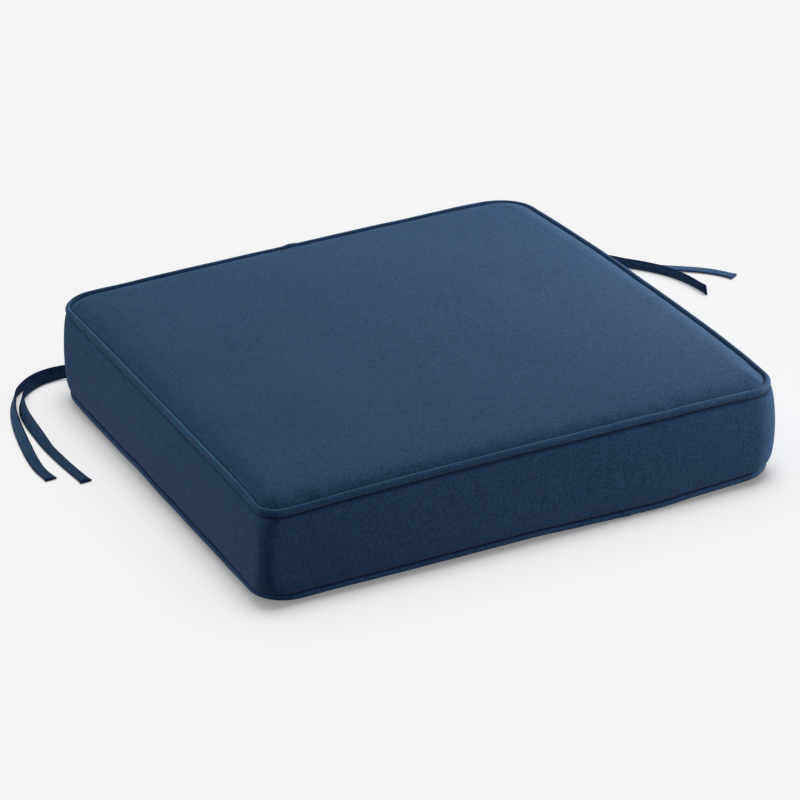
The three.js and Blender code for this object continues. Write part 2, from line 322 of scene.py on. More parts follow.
# The colour of the painted shade in the deepest creases
PAINTED_SHADE_COLOUR = (0.0, 0.003, 0.055, 1.0)
BIAS = math.pi / 4
PANEL_FINISH = Finish("navy_canvas_panels", NAVY, 0.0008, 0.0, 0.88, 0.2, 0.5)
PIPING_FINISH = Finish("bias_canvas_piping", NAVY, 0.0008, BIAS, 0.85, 0.3, 0.5)
TIE_FINISH = Finish("folded_canvas_ties", TIE_NAVY, 0.0008, 0.0, 0.85, 0.15, 0.5)
THREAD_FINISH = Finish("tie_stitching_thread", THREAD_BLUE, 0.0003, BIAS, 0.6, 0.1, 0.3)
SPECULAR_LEVEL = 0.25
SHEEN_ROUGHNESS = 0.35
SHEEN_TINT = (0.62, 0.80, 1.0, 1.0)

# Weave: how rounded its threads are, and how the tone of one thread changes along it
THREAD_ROUNDNESS = 0.6
SLUB_STRETCH = 0.045
SLUB_GRAIN = {"Scale": 0.8, "Detail": 3.0, "Roughness": 0.65}
WEAVE_RELIEF = 0.0003
FINE_RELIEF = 3.0

# Dye: scales and detail of its unevenness, how strongly each kind changes the tone, and the
# tone's range
FINE_SCALE = 430.0
FINE_DETAIL = 2.0
BROAD_SCALE = 9.0
BROAD_DETAIL = 3.0
FINE_STRENGTH = 2.5
THREAD_STRENGTH = 1.4
BROAD_STRENGTH = 0.35
TONE_RANGE = 0.28

# Floor: its side length, its colour and glow as seen, and the colour that it throws back
FLOOR_SIZE = 24
FLOOR_SEEN = (0.9, 0.9, 0.9, 1.0)
FLOOR_GLOW = 0.235
FLOOR_BOUNCE = (0.07, 0.07, 0.07, 1.0)

# Light. The suns light the floor alone and give the soft shadow. The softboxes face the cushion
SKY_STRENGTH = 0.05
SUN_TILT = 2.5
SUN_HEIGHT = 3
LAMP_AIM = (0, 0, 0.06)
WHITE = (1.0, 1.0, 1.0)
Sun = namedtuple("Sun", "name spread strength")
FLOOR_SUNS = (Sun("floor_light_close", 30, 1.39), Sun("floor_light_wide", 90, 0.82))
Softbox = namedtuple("Softbox", "name place size watts colour")
CUSHION_SOFTBOXES = (
    Softbox("back_left", (-1.5, 1.5, 1.0), 1.2, 8.2, (1.02, 1.0, 0.96)),
    Softbox("left_above", (-0.9, 0.9, 1.5), 0.8, 4.2, (0.93, 1.0, 1.0)),
    Softbox("left_low", (-1.6, 0.9, 0.3), 0.6, 4.8, (1.12, 1.0, 0.94)),
    Softbox("front_left", (-1.5, -1.5, 0.8), 1.0, 5.6, (1.07, 1.0, 1.03)),
    Softbox("near_right", (0.7, 0.6, 0.9), 0.8, 6.2, (0.73, 1.0, 1.12)),
    Softbox("right", (2.0, 0.0, 0.8), 1.2, 1.3, WHITE),
    Softbox("right_front", (1.1, -0.9, 0.25), 0.5, 6.1, (1.1, 1.0, 1.0)),
    Softbox("right_low", (1.2, -0.2, 0.3), 0.6, 10.4, (1.05, 1.0, 0.93)),
)
TIE_SOFTBOXES = (
    Softbox("tie_front", (-0.9, -1.8, 0.8), 0.8, 2.8, WHITE),
    Softbox("tie_above", (0.10, -0.70, 1.30), 0.6, 2.6, WHITE),
)


# Camera


def direction(azimuth, elevation):
    """The unit vector from the object towards the camera. Azimuth 0 is the front."""
    a = math.radians(azimuth)
    e = math.radians(elevation)
    return Vector((math.sin(a) * math.cos(e), -math.cos(a) * math.cos(e), math.sin(e)))


def make_camera():
    """The camera looks at CAMERA_AIM and is turned by CAMERA_ROLL about its line of sight."""
    back = direction(CAMERA_AZIMUTH, CAMERA_ELEVATION)
    level_right = (-back).cross(Vector((0, 0, 1))).normalized()
    level_up = level_right.cross(-back)
    roll = math.radians(CAMERA_ROLL)
    right = math.cos(roll) * level_right + math.sin(roll) * level_up
    up = math.cos(roll) * level_up - math.sin(roll) * level_right
    lens = bpy.data.cameras.new("camera")
    lens.lens = CAMERA_LENS_MM
    lens.sensor_width = CAMERA_SENSOR_MM
    lens.clip_start, lens.clip_end = CAMERA_CLIP
    camera = bpy.data.objects.new("camera", lens)
    camera.matrix_world = Matrix((right, up, back)).transposed().to_4x4()
    camera.location = Vector(CAMERA_AIM) + back * CAMERA_DISTANCE
    bpy.context.scene.collection.objects.link(camera)
    bpy.context.scene.camera = camera


# Meshes


def mesh_piece(name, points, faces, cloth=None, tone=None):
    """A new smooth-shaded object. cloth holds a place on the flat cloth for each face corner,
    and tone how much lighter or darker the cloth is painted at each point, where 1 is plain; the
    seams and ties carry painted shade and painted highlight in it."""
    mesh = bpy.data.meshes.new(name)
    mesh.from_pydata([tuple(p) for p in points], [], [tuple(f) for f in faces])
    if cloth is not None:
        layer = mesh.uv_layers.new(name="cloth")
        layer.data.foreach_set("uv", np.asarray(cloth, np.float32).ravel())
        tones = mesh.attributes.new("tone", "FLOAT", "POINT")
        tones.data.foreach_set("value", np.ones(len(points)) if tone is None else np.ravel(tone))
    mesh.polygons.foreach_set("use_smooth", [True] * len(mesh.polygons))
    mesh.update()
    piece = bpy.data.objects.new(name, mesh)
    bpy.context.scene.collection.objects.link(piece)
    return piece


def smooth_step(share):
    return share * share * (3 - 2 * share)


def cloth_quad(here, there, near, far):
    """Places on the flat cloth of a face that runs from here to there and from near to far."""
    return [(here, near), (there, near), (there, far), (here, far)]


def ripple(along, length, pitch, seed):
    """Irregular waves round a closed seam, from -1 to 1."""
    count = round(length / pitch)
    knots = np.random.default_rng(seed).uniform(-1, 1, count)
    place = along / length * count
    before = np.floor(place).astype(int)
    share = smooth_step(place - before)
    return knots[before % count] * (1 - share) + knots[(before + 1) % count] * share


def lumps(plan, pitch, seed):
    """Irregular soft waves over a panel, from about -1 to 1."""
    count = round(LUMP_FIELD / pitch)
    knots = np.random.default_rng(seed).uniform(-1, 1, (count + 1, count + 1))
    place = (plan[:, :2] + LUMP_FIELD / 2) / pitch
    before = np.floor(place).astype(int)
    share = smooth_step(place - before)
    (i, j), (s, t) = before.T, share.T
    front = knots[i, j] * (1 - s) + knots[i + 1, j] * s
    back = knots[i, j + 1] * (1 - s) + knots[i + 1, j + 1] * s
    return front * (1 - t) + back * t


def tube_faces(count, ring_size):
    """Quads between rings of a tube, listed ring by ring, as point numbers."""
    ring = np.arange(count - 1)[:, None]
    side = np.arange(ring_size)[None, :]
    after = (side + 1) % ring_size
    low = ring * ring_size
    high = low + ring_size
    return np.stack([low + side, low + after, high + after, high + side], -1).reshape(-1, 4)


def centripetal_curve(points, places):
    """Points on the smooth curve through points, at places counted in points from the first."""
    before = 2 * points[0] - points[1]
    after = 2 * points[-1] - points[-2]
    padded = np.vstack([before, points, after])
    out = []
    for place in places:
        row = min(int(place), len(points) - 2)
        t = place - row
        a, b, c, d = padded[row : row + 4]
        ab, bc, cd = (np.linalg.norm(q - p) ** 0.5 for p, q in ((a, b), (b, c), (c, d)))
        leave = ((b - a) / ab - (c - a) / (ab + bc) + (c - b) / bc) * bc
        arrive = ((c - b) / bc - (d - b) / (bc + cd) + (d - c) / cd) * bc
        square = t * t
        cube = square * t
        out.append(
            b * (2 * cube - 3 * square + 1)
            + leave * (cube - 2 * square + t)
            + c * (3 * square - 2 * cube)
            + arrive * (cube - square)
        )
    return np.array(out)


# Ties


def tie_line(route):
    """The tie's middle line and the unit vectors across and over it at each step."""
    rows = np.array(route, float)
    lean = np.radians(rows[:, 3])
    half_height = (TIE_WIDTH * np.abs(np.sin(lean)) + TIE_THICKNESS * np.cos(lean)) / 2
    points = rows[:, :3].copy()
    points[:, 2] += half_height + TIE_CLEARANCE
    steps = int(np.linalg.norm(np.diff(points, axis=0), axis=1).sum() / TIE_STEP)
    places = np.linspace(0, len(rows) - 1, steps + 1)
    middle = centripetal_curve(points, places)
    forwards = np.gradient(middle, axis=0)
    forwards /= np.linalg.norm(forwards, axis=1)[:, None]
    left = np.stack([-forwards[:, 1], forwards[:, 0], np.zeros(steps + 1)], 1)
    left /= np.linalg.norm(left, axis=1)[:, None]
    upright = np.cross(forwards, left)
    angle = np.interp(places, np.arange(len(rows)), lean)[:, None]
    across = left * np.cos(angle) + upright * np.sin(angle)
    return middle, across, np.cross(forwards, across)


def tie_section():
    """The folded strip's whole section: places across and over it, and their tones."""
    half = [
        (inset - TIE_WIDTH / 2, share * TIE_THICKNESS / 2, tone)
        for inset, share, tone in TIE_HALF_SECTION
    ]
    top = half + [(-x, up, tone) for x, up, tone in reversed(half)]
    bottom = [(x, -up, tone) for x, up, tone in reversed(top[1:-1])]
    rows = np.array(top + bottom)
    return rows[:, :2], rows[:, 2]


def tie_mesh(name, middle, across, over, along):
    """The strip of a tie, a little wider and darker at its cut end."""
    section, section_tone = tie_section()
    count = len(middle)
    ring_size = len(section)
    flare = 1 + TIE_END_FLARE * np.exp(-(((along[-1] - along) / TIE_FLARE_REACH) ** 2))
    points = (
        middle[:, None, :]
        + (across * flare[:, None])[:, None, :] * section[None, :, :1]
        + over[:, None, :] * section[None, :, 1:]
    )
    tone = np.repeat(section_tone[None], count, 0)
    tone[-1] = TIE_END_TONE
    faces = tube_faces(count, ring_size).tolist()
    side_lengths = np.linalg.norm(np.diff(section, axis=0, append=section[:1]), axis=1)
    girth = np.r_[0, np.cumsum(side_lengths)]
    cloth = []
    for low, high in zip(along, along[1:]):
        for near, far in zip(girth, girth[1:]):
            cloth += [(low, near), (low, far), (high, far), (high, near)]
    start_cap = list(range(ring_size))
    end_cap = [(count - 1) * ring_size + side for side in start_cap]
    faces += [start_cap[::-1], end_cap]
    cloth += [(along[0], 0)] * ring_size + [(along[-1], 0)] * ring_size
    return mesh_piece(name + "_strip", points.reshape(-1, 3), faces, cloth, tone)


def stitch_rings(middle, across, over, along, start, side, face):
    """The points of one stitch, ring by ring, on one face of a tie beside one edge."""
    points = []
    for share, wide, raised in STITCH_SHAPE:
        at = start + share * STITCH_LENGTH
        centre, sideways, upwards = (
            np.array([np.interp(at, along, line[:, axis]) for axis in range(3)])
            for line in (middle, across, over)
        )
        lift = face * (STITCH_DEPTH * TIE_THICKNESS + STITCH_RADIUS * raised)
        centre += sideways * side * (TIE_WIDTH / 2 - TIE_STITCH_INSET) + upwards * lift
        for angle in 2 * math.pi * np.arange(STITCH_SIDES) / STITCH_SIDES:
            ring = sideways * math.cos(angle) + upwards * math.sin(angle)
            points.append(centre + ring * STITCH_RADIUS * wide)
    return points


def stitch_mesh(name, middle, across, over, along):
    """A row of short stitches beside each edge, on both faces of a tie."""
    starts = np.arange(TIE_STITCH_INSET, along[-1] - STITCH_LENGTH, STITCH_LENGTH + STITCH_GAP)
    stitch_faces = tube_faces(len(STITCH_SHAPE), STITCH_SIDES)
    points, faces, cloth = [], [], []
    for side, face, start in product((-1, 1), (-1, 1), starts):
        faces += (stitch_faces + len(points)).tolist()
        points += stitch_rings(middle, across, over, along, start, side, face)
        corners = range(4 * len(stitch_faces))
        cloth += [(start + corner * STITCH_CLOTH_STEP, side * STITCH_CLOTH_APART) for corner in corners]
    return mesh_piece(name + "_stitches", points, faces, cloth)


def make_tie(name, route):
    """One tie and its stitches."""
    middle, across, over = tie_line(route)
    along = np.r_[0, np.cumsum(np.linalg.norm(np.diff(middle, axis=0), axis=1))]
    strip = tie_mesh(name, middle, across, over, along)
    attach(strip, "root")
    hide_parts(name)
    stitches = stitch_mesh(name, middle, across, over, along)
    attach(stitches, "root")
    return strip, stitches


# Padded box


def corner_arc(corners, i, inset):
    """Points and outward normals of one rounded corner, inset from its line."""
    places = np.array([(corner.x, corner.y) for corner in corners])
    before = places[i - 1] - places[i]
    after = places[(i + 1) % 4] - places[i]
    before /= np.linalg.norm(before)
    after /= np.linalg.norm(after)
    half_angle = math.acos(before @ after) / 2
    bisector = (before + after) / np.linalg.norm(before + after)
    radius = max(corners[i].radius - inset, SMALLEST_RADIUS)
    middle = places[i] + bisector * (inset + radius) / math.sin(half_angle)
    start = math.atan2(before[0], -before[1])
    turn = np.linspace(0, math.pi - 2 * half_angle, CORNER_STEPS + 1) + start
    normals = np.stack([np.cos(turn), np.sin(turn)], 1)
    return middle + radius * normals, normals


def plan_line(corners, inset=0.0):
    """Closed line in plan from the middle of the front left corner: points, normals, how near
    to the middle of a side (0 at its ends, 1 in its middle) and that side's number."""
    arcs = [corner_arc(corners, i, inset) for i in range(4)]
    points, normals, middleness, sides = [], [], [], []
    for i, corner in enumerate(corners):
        arc, arc_normals = arcs[i]
        points.append(arc)
        normals.append(arc_normals)
        middleness.append(np.zeros(len(arc)))
        steps = WIDTH_STEPS if i % 2 == 0 else DEPTH_STEPS
        t = np.linspace(0, 1, steps + 1)[1:-1, None]
        bulge = 1 - np.abs(2 * t - 1) ** SIDE_FLATNESS
        end = arcs[(i + 1) % 4][0][0]
        points.append(arc[-1] * (1 - t) + end * t + arc_normals[-1] * corner.bow * bulge)
        normals.append(np.repeat(arc_normals[-1:], len(t), 0))
        middleness.append(bulge[:, 0])
        sides += [i] * (len(arc) + len(t))
    half = CORNER_STEPS // 2
    lists = (np.vstack(points), np.vstack(normals), np.concatenate(middleness), np.array(sides))
    return [np.roll(values, -half, 0) for values in lists]


def make_seam(corners, height, dips=()):
    """The middle line of a piping, from the middle of the front left corner: places in plan,
    heights, outward normals, distances along it, the move to its tightened corners, and how
    much each point belongs to a corner, the front, the left, the back or the far sides."""
    points, normals, middleness, sides = plan_line(corners)
    along = np.r_[0, np.cumsum(np.linalg.norm(np.roll(points, -1, 0) - points, axis=1))]
    length = along[-1]
    rise = np.array([corner.rise for corner in corners])[sides] * middleness
    heights = height + rise
    nearest = np.full(len(points), length)
    for i, corner in enumerate(corners):
        middle = along[i * CORNER_STEPS + (WIDTH_STEPS * ((i + 1) // 2) + DEPTH_STEPS * (i // 2))]
        away = (along[:-1] - middle + length / 2) % length - length / 2
        reach = np.where(away < 0, corner.reach_before, corner.reach_after)
        heights -= corner.droop * np.exp(-((away / reach) ** 2))
        nearest = np.minimum(nearest, np.abs(away))
    for place, depth, reach in dips:
        heights -= depth * np.exp(-(((along[:-1] - place) / reach) ** 2))
    heights += WANDER * ripple(along[:-1], length, WANDER_PITCH, WANDER_SEED)
    tight = [c._replace(radius=c.radius + (TIGHT_RADIUS - c.radius) * c.edge) for c in corners]
    seam = {"at": points, "height": heights, "out": normals, "along": along}
    seam["tightened"] = plan_line(tight)[0] - points
    seam["corner"] = np.exp(-((nearest / CORNER_REACH) ** 2))
    for side, axis, sign in (("front", 1, -1), ("left", 0, -1), ("back", 1, 1), ("right", 0, 1)):
        seam[side] = np.clip(sign * normals[:, axis], 0, 1) ** 2
    seam["far"] = seam["right"] + seam["back"]
    return seam


def boxing_levels():
    """Heights and stand-outs of the boxing's rings, on a smooth curve through its profile."""
    spans = len(BOXING_PROFILE) - 1
    places = np.linspace(0, spans, spans * LEVELS_PER_STEP + 1)
    return centripetal_curve(np.array(BOXING_PROFILE), places)


def ring_at(corners, inset, height):
    """A closed ring beside a seam, inset from it in plan."""
    plan = plan_line(corners, inset)[0]
    return np.column_stack([plan, np.broadcast_to(height, len(plan))])


def puff_height(inset, seam, nearest):
    """Height of a panel over its seam, beside the piping. At the front the panel starts closer
    to the piping's crest, at the far sides it rises more slowly, and at the back from lower."""
    front, far, back = (seam[side][nearest] for side in ("front", "far", "back"))
    fade = np.exp(-((inset / FAR_EDGE_FADE) ** 2))
    reach = EDGE_REACH + (FAR_EDGE_REACH - EDGE_REACH) * far * fade
    beyond = np.maximum(inset - PANEL_START, 0)
    near_rise = FRONT_RISE * front * np.exp(-beyond / EDGE_REACH)
    steepness = EDGE_STEEPNESS + (FAR_EDGE_STEEPNESS - EDGE_STEEPNESS) * far
    start = PANEL_RISE + near_rise - BACK_DROP * back * np.exp(-((beyond / BACK_DROP_REACH) ** 2))
    return start + EDGE_PUFF * (1 - np.exp(-((beyond / reach) ** steepness)))


def pucker_height(inset, seam, nearest):
    """The top panel's small rises and dips beside its seam."""
    beyond = np.maximum(inset - PANEL_START, 0) / PUCKER_REACH
    waves = ripple(seam["along"][nearest], seam["along"][-1], PUCKER_PITCH, PANEL_PUCKER_SEED)
    size = PUCKER_DEPTH * (1 + CORNER_PUCKERS * seam["corner"][nearest])
    return size * waves * 2 * beyond * np.exp(1 - 2 * beyond)


def dome_height(plan):
    """The crown of the top panel, which falls to nothing at its edges."""
    share = (plan[:, 1] + HALF_DEPTH) / (2 * HALF_DEPTH)
    half_width = HALF_FRONT_WIDTH * (1 - share) + HALF_BACK_WIDTH * share
    along_x = np.clip(np.abs(plan[:, 0]) / half_width, 0, 1) ** DOME_POWER
    along_y = np.clip(np.abs(plan[:, 1]) / HALF_DEPTH, 0, 1) ** DOME_POWER
    return CROWN * (1 - along_x) * (1 - along_y)


def panel_height(inset, plan, seam, nearest):
    """The top panel's height over its seam, without the lumps of the filling."""
    puff = puff_height(inset, seam, nearest) + pucker_height(inset, seam, nearest)
    return puff + dome_height(plan)


def lump_height(plan):
    return LUMP_DEPTH * lumps(plan, LUMP_PITCH, LUMP_SEED)


def underside_height(inset, seam_height):
    """The bottom panel falls from its seam and lies flat on the floor further in."""
    share = np.clip((inset - PANEL_START) / UNDERSIDE_FLAT_AFTER, 0, 1)
    return (seam_height - PANEL_RISE) * (1 - share) ** UNDERSIDE_POWER


def boxing_swell(top, bottom, height, swell):
    """How far the boxing stands out at one height: its profile, puckers and swags."""
    corner = (top["corner"] + bottom["corner"]) / 2
    fullness = swell / BOXING_FULLNESS
    swell = swell * (1 - (1 - CORNER_SWELL_SHARE) * corner)
    tuck = LEFT_TUCK * bottom["left"] * (1 - bottom["corner"])
    swell -= tuck * math.exp(-((height / LEFT_TUCK_REACH) ** 2))
    pucker_size = PUCKER_DEPTH * fullness * (1 + CORNER_PUCKERS * corner)
    from_bottom = (height, bottom, BOTTOM_PUCKER_SEED)
    from_top = (BOXING_HEIGHT - height, top, TOP_PUCKER_SEED)
    for away, seam, seed in (from_bottom, from_top):
        waves = ripple(seam["along"][:-1], seam["along"][-1], PUCKER_PITCH, seed)
        swell += pucker_size * waves * np.exp(-away / (2 * PUCKER_REACH))
    swags = ripple(bottom["along"][:-1], bottom["along"][-1], SWAG_PITCH, SWAG_SEED)
    return swell + SWAG_DEPTH * fullness * swags * math.sin(math.pi * height / BOXING_HEIGHT)


def boxing_ring(top, bottom, height, swell):
    """One closed ring of the boxing, between the seams."""
    up = height / BOXING_HEIGHT
    plan = bottom["at"] * (1 - up) + top["at"] * up
    tightened = bottom["tightened"] * (1 - up) + top["tightened"] * up
    plan += tightened * (4 * up * (1 - up)) ** TIGHT_POWER
    out = bottom["out"] * (1 - up) + top["out"] * up
    plan += out * boxing_swell(top, bottom, height, swell)[:, None]
    return np.column_stack([plan, bottom["height"] * (1 - up) + top["height"] * up])


def box_rings(top, bottom):
    """Closed rings from the flat underside out round the boxing and in over the top panel,
    and the numbers of the rings where the boxing strip starts and ends."""
    rings = []
    for step in reversed(UNDERSIDE_RING_STEPS):
        inset = PANEL_START + step
        rings.append(ring_at(BOTTOM_CORNERS, inset, underside_height(inset, bottom["height"])))
    for inset, away in SEAM_GROOVE:
        rings.append(ring_at(BOTTOM_CORNERS, inset, bottom["height"] - away))
    boxing_from = len(rings) - 1
    for height, swell in boxing_levels():
        rings.append(boxing_ring(top, bottom, height, swell))
    boxing_to = len(rings)
    for inset, away in reversed(SEAM_GROOVE):
        rings.append(ring_at(TOP_CORNERS, inset, top["height"] + away))
    lift = top["height"] - TOP_SEAM_HEIGHT
    here = np.arange(len(lift))
    for step in PANEL_RING_STEPS:
        inset = PANEL_START + step
        ring = ring_at(TOP_CORNERS, inset, lift * math.exp(-step / LIFT_REACH))
        closer = (FRONT_START * top["front"] + FAR_START * top["far"]) * math.exp(-step / EDGE_REACH)
        ring[:, :2] -= top["out"] * closer[:, None]
        ring[:, 2] += TOP_SEAM_HEIGHT + panel_height(inset, ring, top, here)
        ring[:, 2] += lump_height(ring) * (1 - math.exp(-step / LIFT_REACH))
        rings.append(ring)
    return rings, boxing_from, boxing_to


def painted_light_tone(rings, boxing_from, boxing_to, top):
    """Painted shade in the creases along both seams, and a painted highlight on the panel's rim at
    the back and right, as a tone at each point of each ring.
    """
    tones = [np.ones(len(top["front"])) for _ in rings]
    under = PAINTED_SHADE_UNDER_FRONT * top["front"]
    for number in range(boxing_from - len(SEAM_GROOVE) + 1, boxing_from + 1):
        tones[number] -= PAINTED_SHADE_OVER_BOTTOM
    for number in range(boxing_from + 1, boxing_to):
        low = rings[number][:, 2] - rings[boxing_from + 1][:, 2]
        high = rings[boxing_to - 1][:, 2] - rings[number][:, 2]
        tones[number] -= PAINTED_SHADE_OVER_BOTTOM * np.exp(-((low / PAINTED_SHADE_WIDTH) ** 2))
        tones[number] -= under * np.exp(-((high / PAINTED_SHADE_WIDTH) ** 2))
    for number in range(boxing_to, boxing_to + len(SEAM_GROOVE)):
        tones[number] -= under
    for number, step in enumerate(PANEL_RING_STEPS, boxing_to + len(SEAM_GROOVE)):
        width = PANEL_PAINTED_SHADE_WIDTH * (1 + WIDER_AT_CORNERS * top["corner"])
        tones[number] -= PAINTED_SHADE_BESIDE_PANEL * top["far"] * np.exp(-((step / width) ** 2))
        rim = RIM_INSET * (1 + top["back"])
        tones[number] += RIM_PAINTED_HIGHLIGHT * top["far"] * np.exp(-(((step - rim) / RIM_INSET) ** 2))
    return tones


def distance_to_seam(plan, seam):
    """How far in from the seam each place lies, and the number of its nearest seam point."""
    tree = KDTree(len(seam["at"]))
    for i, (x, y) in enumerate(seam["at"]):
        tree.insert((x, y, 0), i)
    tree.balance()
    nearest = np.array([tree.find((x, y, 0))[1] for x, y in plan])
    inset = -np.sum((plan - seam["at"][nearest]) * seam["out"][nearest], 1)
    return inset, nearest


def patch_grid(ring, wide, deep):
    """A grid that fills a closed ring, from its four sides."""
    s = np.linspace(0, 1, wide + 1)[:, None, None]
    t = np.linspace(0, 1, deep + 1)[None, :, None]
    closed = np.vstack([ring, ring[:1]])
    front = closed[: wide + 1][:, None]
    right = closed[wide : wide + deep + 1][None]
    back = closed[wide + deep : 2 * wide + deep + 1][::-1][:, None]
    left = closed[2 * wide + deep :][::-1][None]
    corners = (
        front[:1] * (1 - s) * (1 - t)
        + front[-1:] * s * (1 - t)
        + back[:1] * (1 - s) * t
        + back[-1:] * s * t
    )
    return front * (1 - t) + back * t + left * (1 - s) + right * s - corners


def patch_numbers(ring_start, first_inner, wide, deep):
    """Point numbers of the patch's grid, whose border is the ring that starts at ring_start."""
    numbers = np.zeros((wide + 1, deep + 1), int)
    ring_size = 2 * (wide + deep)
    across = np.arange(wide + 1)
    along = np.arange(deep + 1)
    numbers[:, 0] = ring_start + across
    numbers[:, deep] = ring_start + 2 * wide + deep - across
    numbers[wide] = ring_start + wide + along
    numbers[0] = ring_start + (ring_size - along) % ring_size
    inner = np.arange((wide - 1) * (deep - 1)).reshape(wide - 1, deep - 1)
    numbers[1:-1, 1:-1] = first_inner + inner
    return numbers


def ring_cloth(rings, boxing_from, boxing_to, along):
    """Places on the flat cloth for the faces between neighbouring rings. That of the boxing
    lies along its strip, and that of the panels as in plan."""
    cloth = []
    girth = 0.0
    for number, (low_ring, high_ring) in enumerate(zip(rings, rings[1:])):
        if boxing_from <= number < boxing_to:
            rise = np.linalg.norm(high_ring - low_ring, axis=1).mean()
            for here, there in zip(along, along[1:]):
                cloth += cloth_quad(here, there, girth, girth + rise)
            girth += rise
        else:
            low, high = low_ring[:, :2], high_ring[:, :2]
            after_low, after_high = np.roll(low, -1, 0), np.roll(high, -1, 0)
            cloth += list(np.stack([low, after_low, after_high, high], 1).reshape(-1, 2))
    return cloth


def top_patch(rim, rim_start, first_inner, seam):
    """The middle of the top panel, inside its last ring: points, faces and cloth."""
    wide = WIDTH_STEPS + CORNER_STEPS
    deep = DEPTH_STEPS + CORNER_STEPS
    inset = np.full(len(rim), PANEL_START + PANEL_RING_STEPS[-1])
    rim_height = panel_height(inset, rim, seam, np.arange(len(rim))) + lump_height(rim)
    lift = rim[:, 2] - TOP_SEAM_HEIGHT - rim_height
    grid = patch_grid(np.column_stack([rim[:, :2], lift]), wide, deep)
    inner = grid[1:-1, 1:-1].reshape(-1, 3)
    inset, nearest = distance_to_seam(inner[:, :2], seam)
    heights = TOP_SEAM_HEIGHT + inner[:, 2] + panel_height(inset, inner, seam, nearest)
    points = np.column_stack([inner[:, :2], heights + lump_height(inner)])
    numbers = patch_numbers(rim_start, first_inner, wide, deep)
    faces, cloth = [], []
    for i, j in product(range(wide), range(deep)):
        spots = ((i, j), (i + 1, j), (i + 1, j + 1), (i, j + 1))
        faces.append(tuple(numbers[spot] for spot in spots))
        cloth += [grid[spot][:2] for spot in spots]
    return points, faces, cloth


def make_padded_box(top, bottom):
    """The cover of the padded box: rings up the boxing, and a patch in the top panel."""
    rings, boxing_from, boxing_to = box_rings(top, bottom)
    size = len(top["at"])
    points = [point for ring in rings for point in ring]
    faces = tube_faces(len(rings), size).tolist()
    cloth = ring_cloth(rings, boxing_from, boxing_to, (top["along"] + bottom["along"]) / 2)
    patch = top_patch(rings[-1], (len(rings) - 1) * size, len(points), top)
    for whole, middle in zip((points, faces, cloth), patch):
        whole += list(middle)
    tones = np.concatenate(painted_light_tone(rings, boxing_from, boxing_to, top))
    tone = np.ones(len(points))
    tone[: len(tones)] = tones
    return mesh_piece("padded_box", points, faces, cloth, tone)


def close_underside(piece):
    """Fills the flat middle of the underside with one face."""
    shape = bmesh.new()
    shape.from_mesh(piece.data)
    rim = [edge for edge in shape.edges if edge.is_boundary]
    faces = bmesh.ops.contextual_create(shape, geom=rim)["faces"]
    cloth = shape.loops.layers.uv["cloth"]
    for face in faces:
        face.smooth = True
        for corner in face.loops:
            corner[cloth].uv = corner.vert.co.xy
    bmesh.ops.recalc_face_normals(shape, faces=shape.faces)
    shape.to_mesh(piece.data)
    shape.free()


def sew_padded_box(top, bottom):
    """The padded box as one tightly filled pad."""
    piece = make_padded_box(top, bottom)
    close_underside(piece)
    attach(piece, "root")
    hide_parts("cushion")
    return piece


# Piping


def angle_between(angle, other):
    """Degrees between angles in radians and another angle in degrees."""
    return np.abs((np.degrees(angle) - other + 180) % 360 - 180)


def piping_tone(seam, angle, crest, creases):
    """A painted highlight along the crest and painted shade towards the creases, each a depth and
    an angle.
    """
    on_crest = np.exp(-((angle_between(angle, CREST_ANGLE) / CREST_WIDTH) ** 2))
    highlight_change = 1 + HIGHLIGHT_CHANGE * ripple(seam["along"][:-1], seam["along"][-1], HIGHLIGHT_PITCH, HIGHLIGHT_SEED)
    tone = 1 + (crest * highlight_change)[:, None] * on_crest
    for depth, crease_angle in creases:
        hidden = (PAINTED_SHADE_GONE - angle_between(angle, crease_angle)) / (PAINTED_SHADE_GONE - PAINTED_SHADE_FULL)
        tone -= np.broadcast_to(depth, len(highlight_change))[:, None] * np.clip(hidden, 0, 1)
    return tone


def sew_piping(name, node, seam, join, crest, creases):
    """A covered cord sewn into a seam. Its cloth overlaps at join, where it is thicker."""
    count = len(seam["at"])
    angle = 2 * math.pi * np.arange(PIPING_SIDES) / PIPING_SIDES
    from_join = np.linalg.norm(seam["at"] - np.array(join[:2]), axis=1)
    radius = PIPING_RADIUS * (1 + join[2] * np.exp(-((from_join / JOIN_REACH) ** 4)))
    out = radius[:, None] * np.cos(angle)
    up = radius[:, None] * np.sin(angle)
    plan = seam["at"][:, None] + seam["out"][:, None] * out[..., None]
    heights = seam["height"][:, None] + up
    points = np.concatenate([plan, heights[..., None]], -1)
    inside_out = tube_faces(count + 1, PIPING_SIDES) % (count * PIPING_SIDES)
    faces = np.roll(inside_out[:, ::-1], 1, 1)
    cloth = []
    around = PIPING_RADIUS * 2 * math.pi * np.arange(PIPING_SIDES + 1) / PIPING_SIDES
    for here, there in zip(seam["along"], seam["along"][1:]):
        for near, far in zip(around, around[1:]):
            cloth += cloth_quad(here, there, near, far)
    tone = piping_tone(seam, angle, crest, creases)
    piece = mesh_piece(name, points.reshape(-1, 3), faces, cloth, tone)
    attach(piece, "root")
    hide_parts(node)
    return piece


# Materials


def new_group(name, inputs, outputs):
    """An empty node group with named sockets, its inputs' outputs and its outputs' inputs."""
    group = bpy.data.node_groups.new(name, "ShaderNodeTree")
    for label, kind, value in inputs:
        socket = group.interface.new_socket(label, in_out="INPUT", socket_type="NodeSocket" + kind)
        if value is not None:
            socket.default_value = value
    for label, kind in outputs:
        group.interface.new_socket(label, in_out="OUTPUT", socket_type="NodeSocket" + kind)
    given = group.nodes.new("NodeGroupInput").outputs
    return group, given, group.nodes.new("NodeGroupOutput").inputs


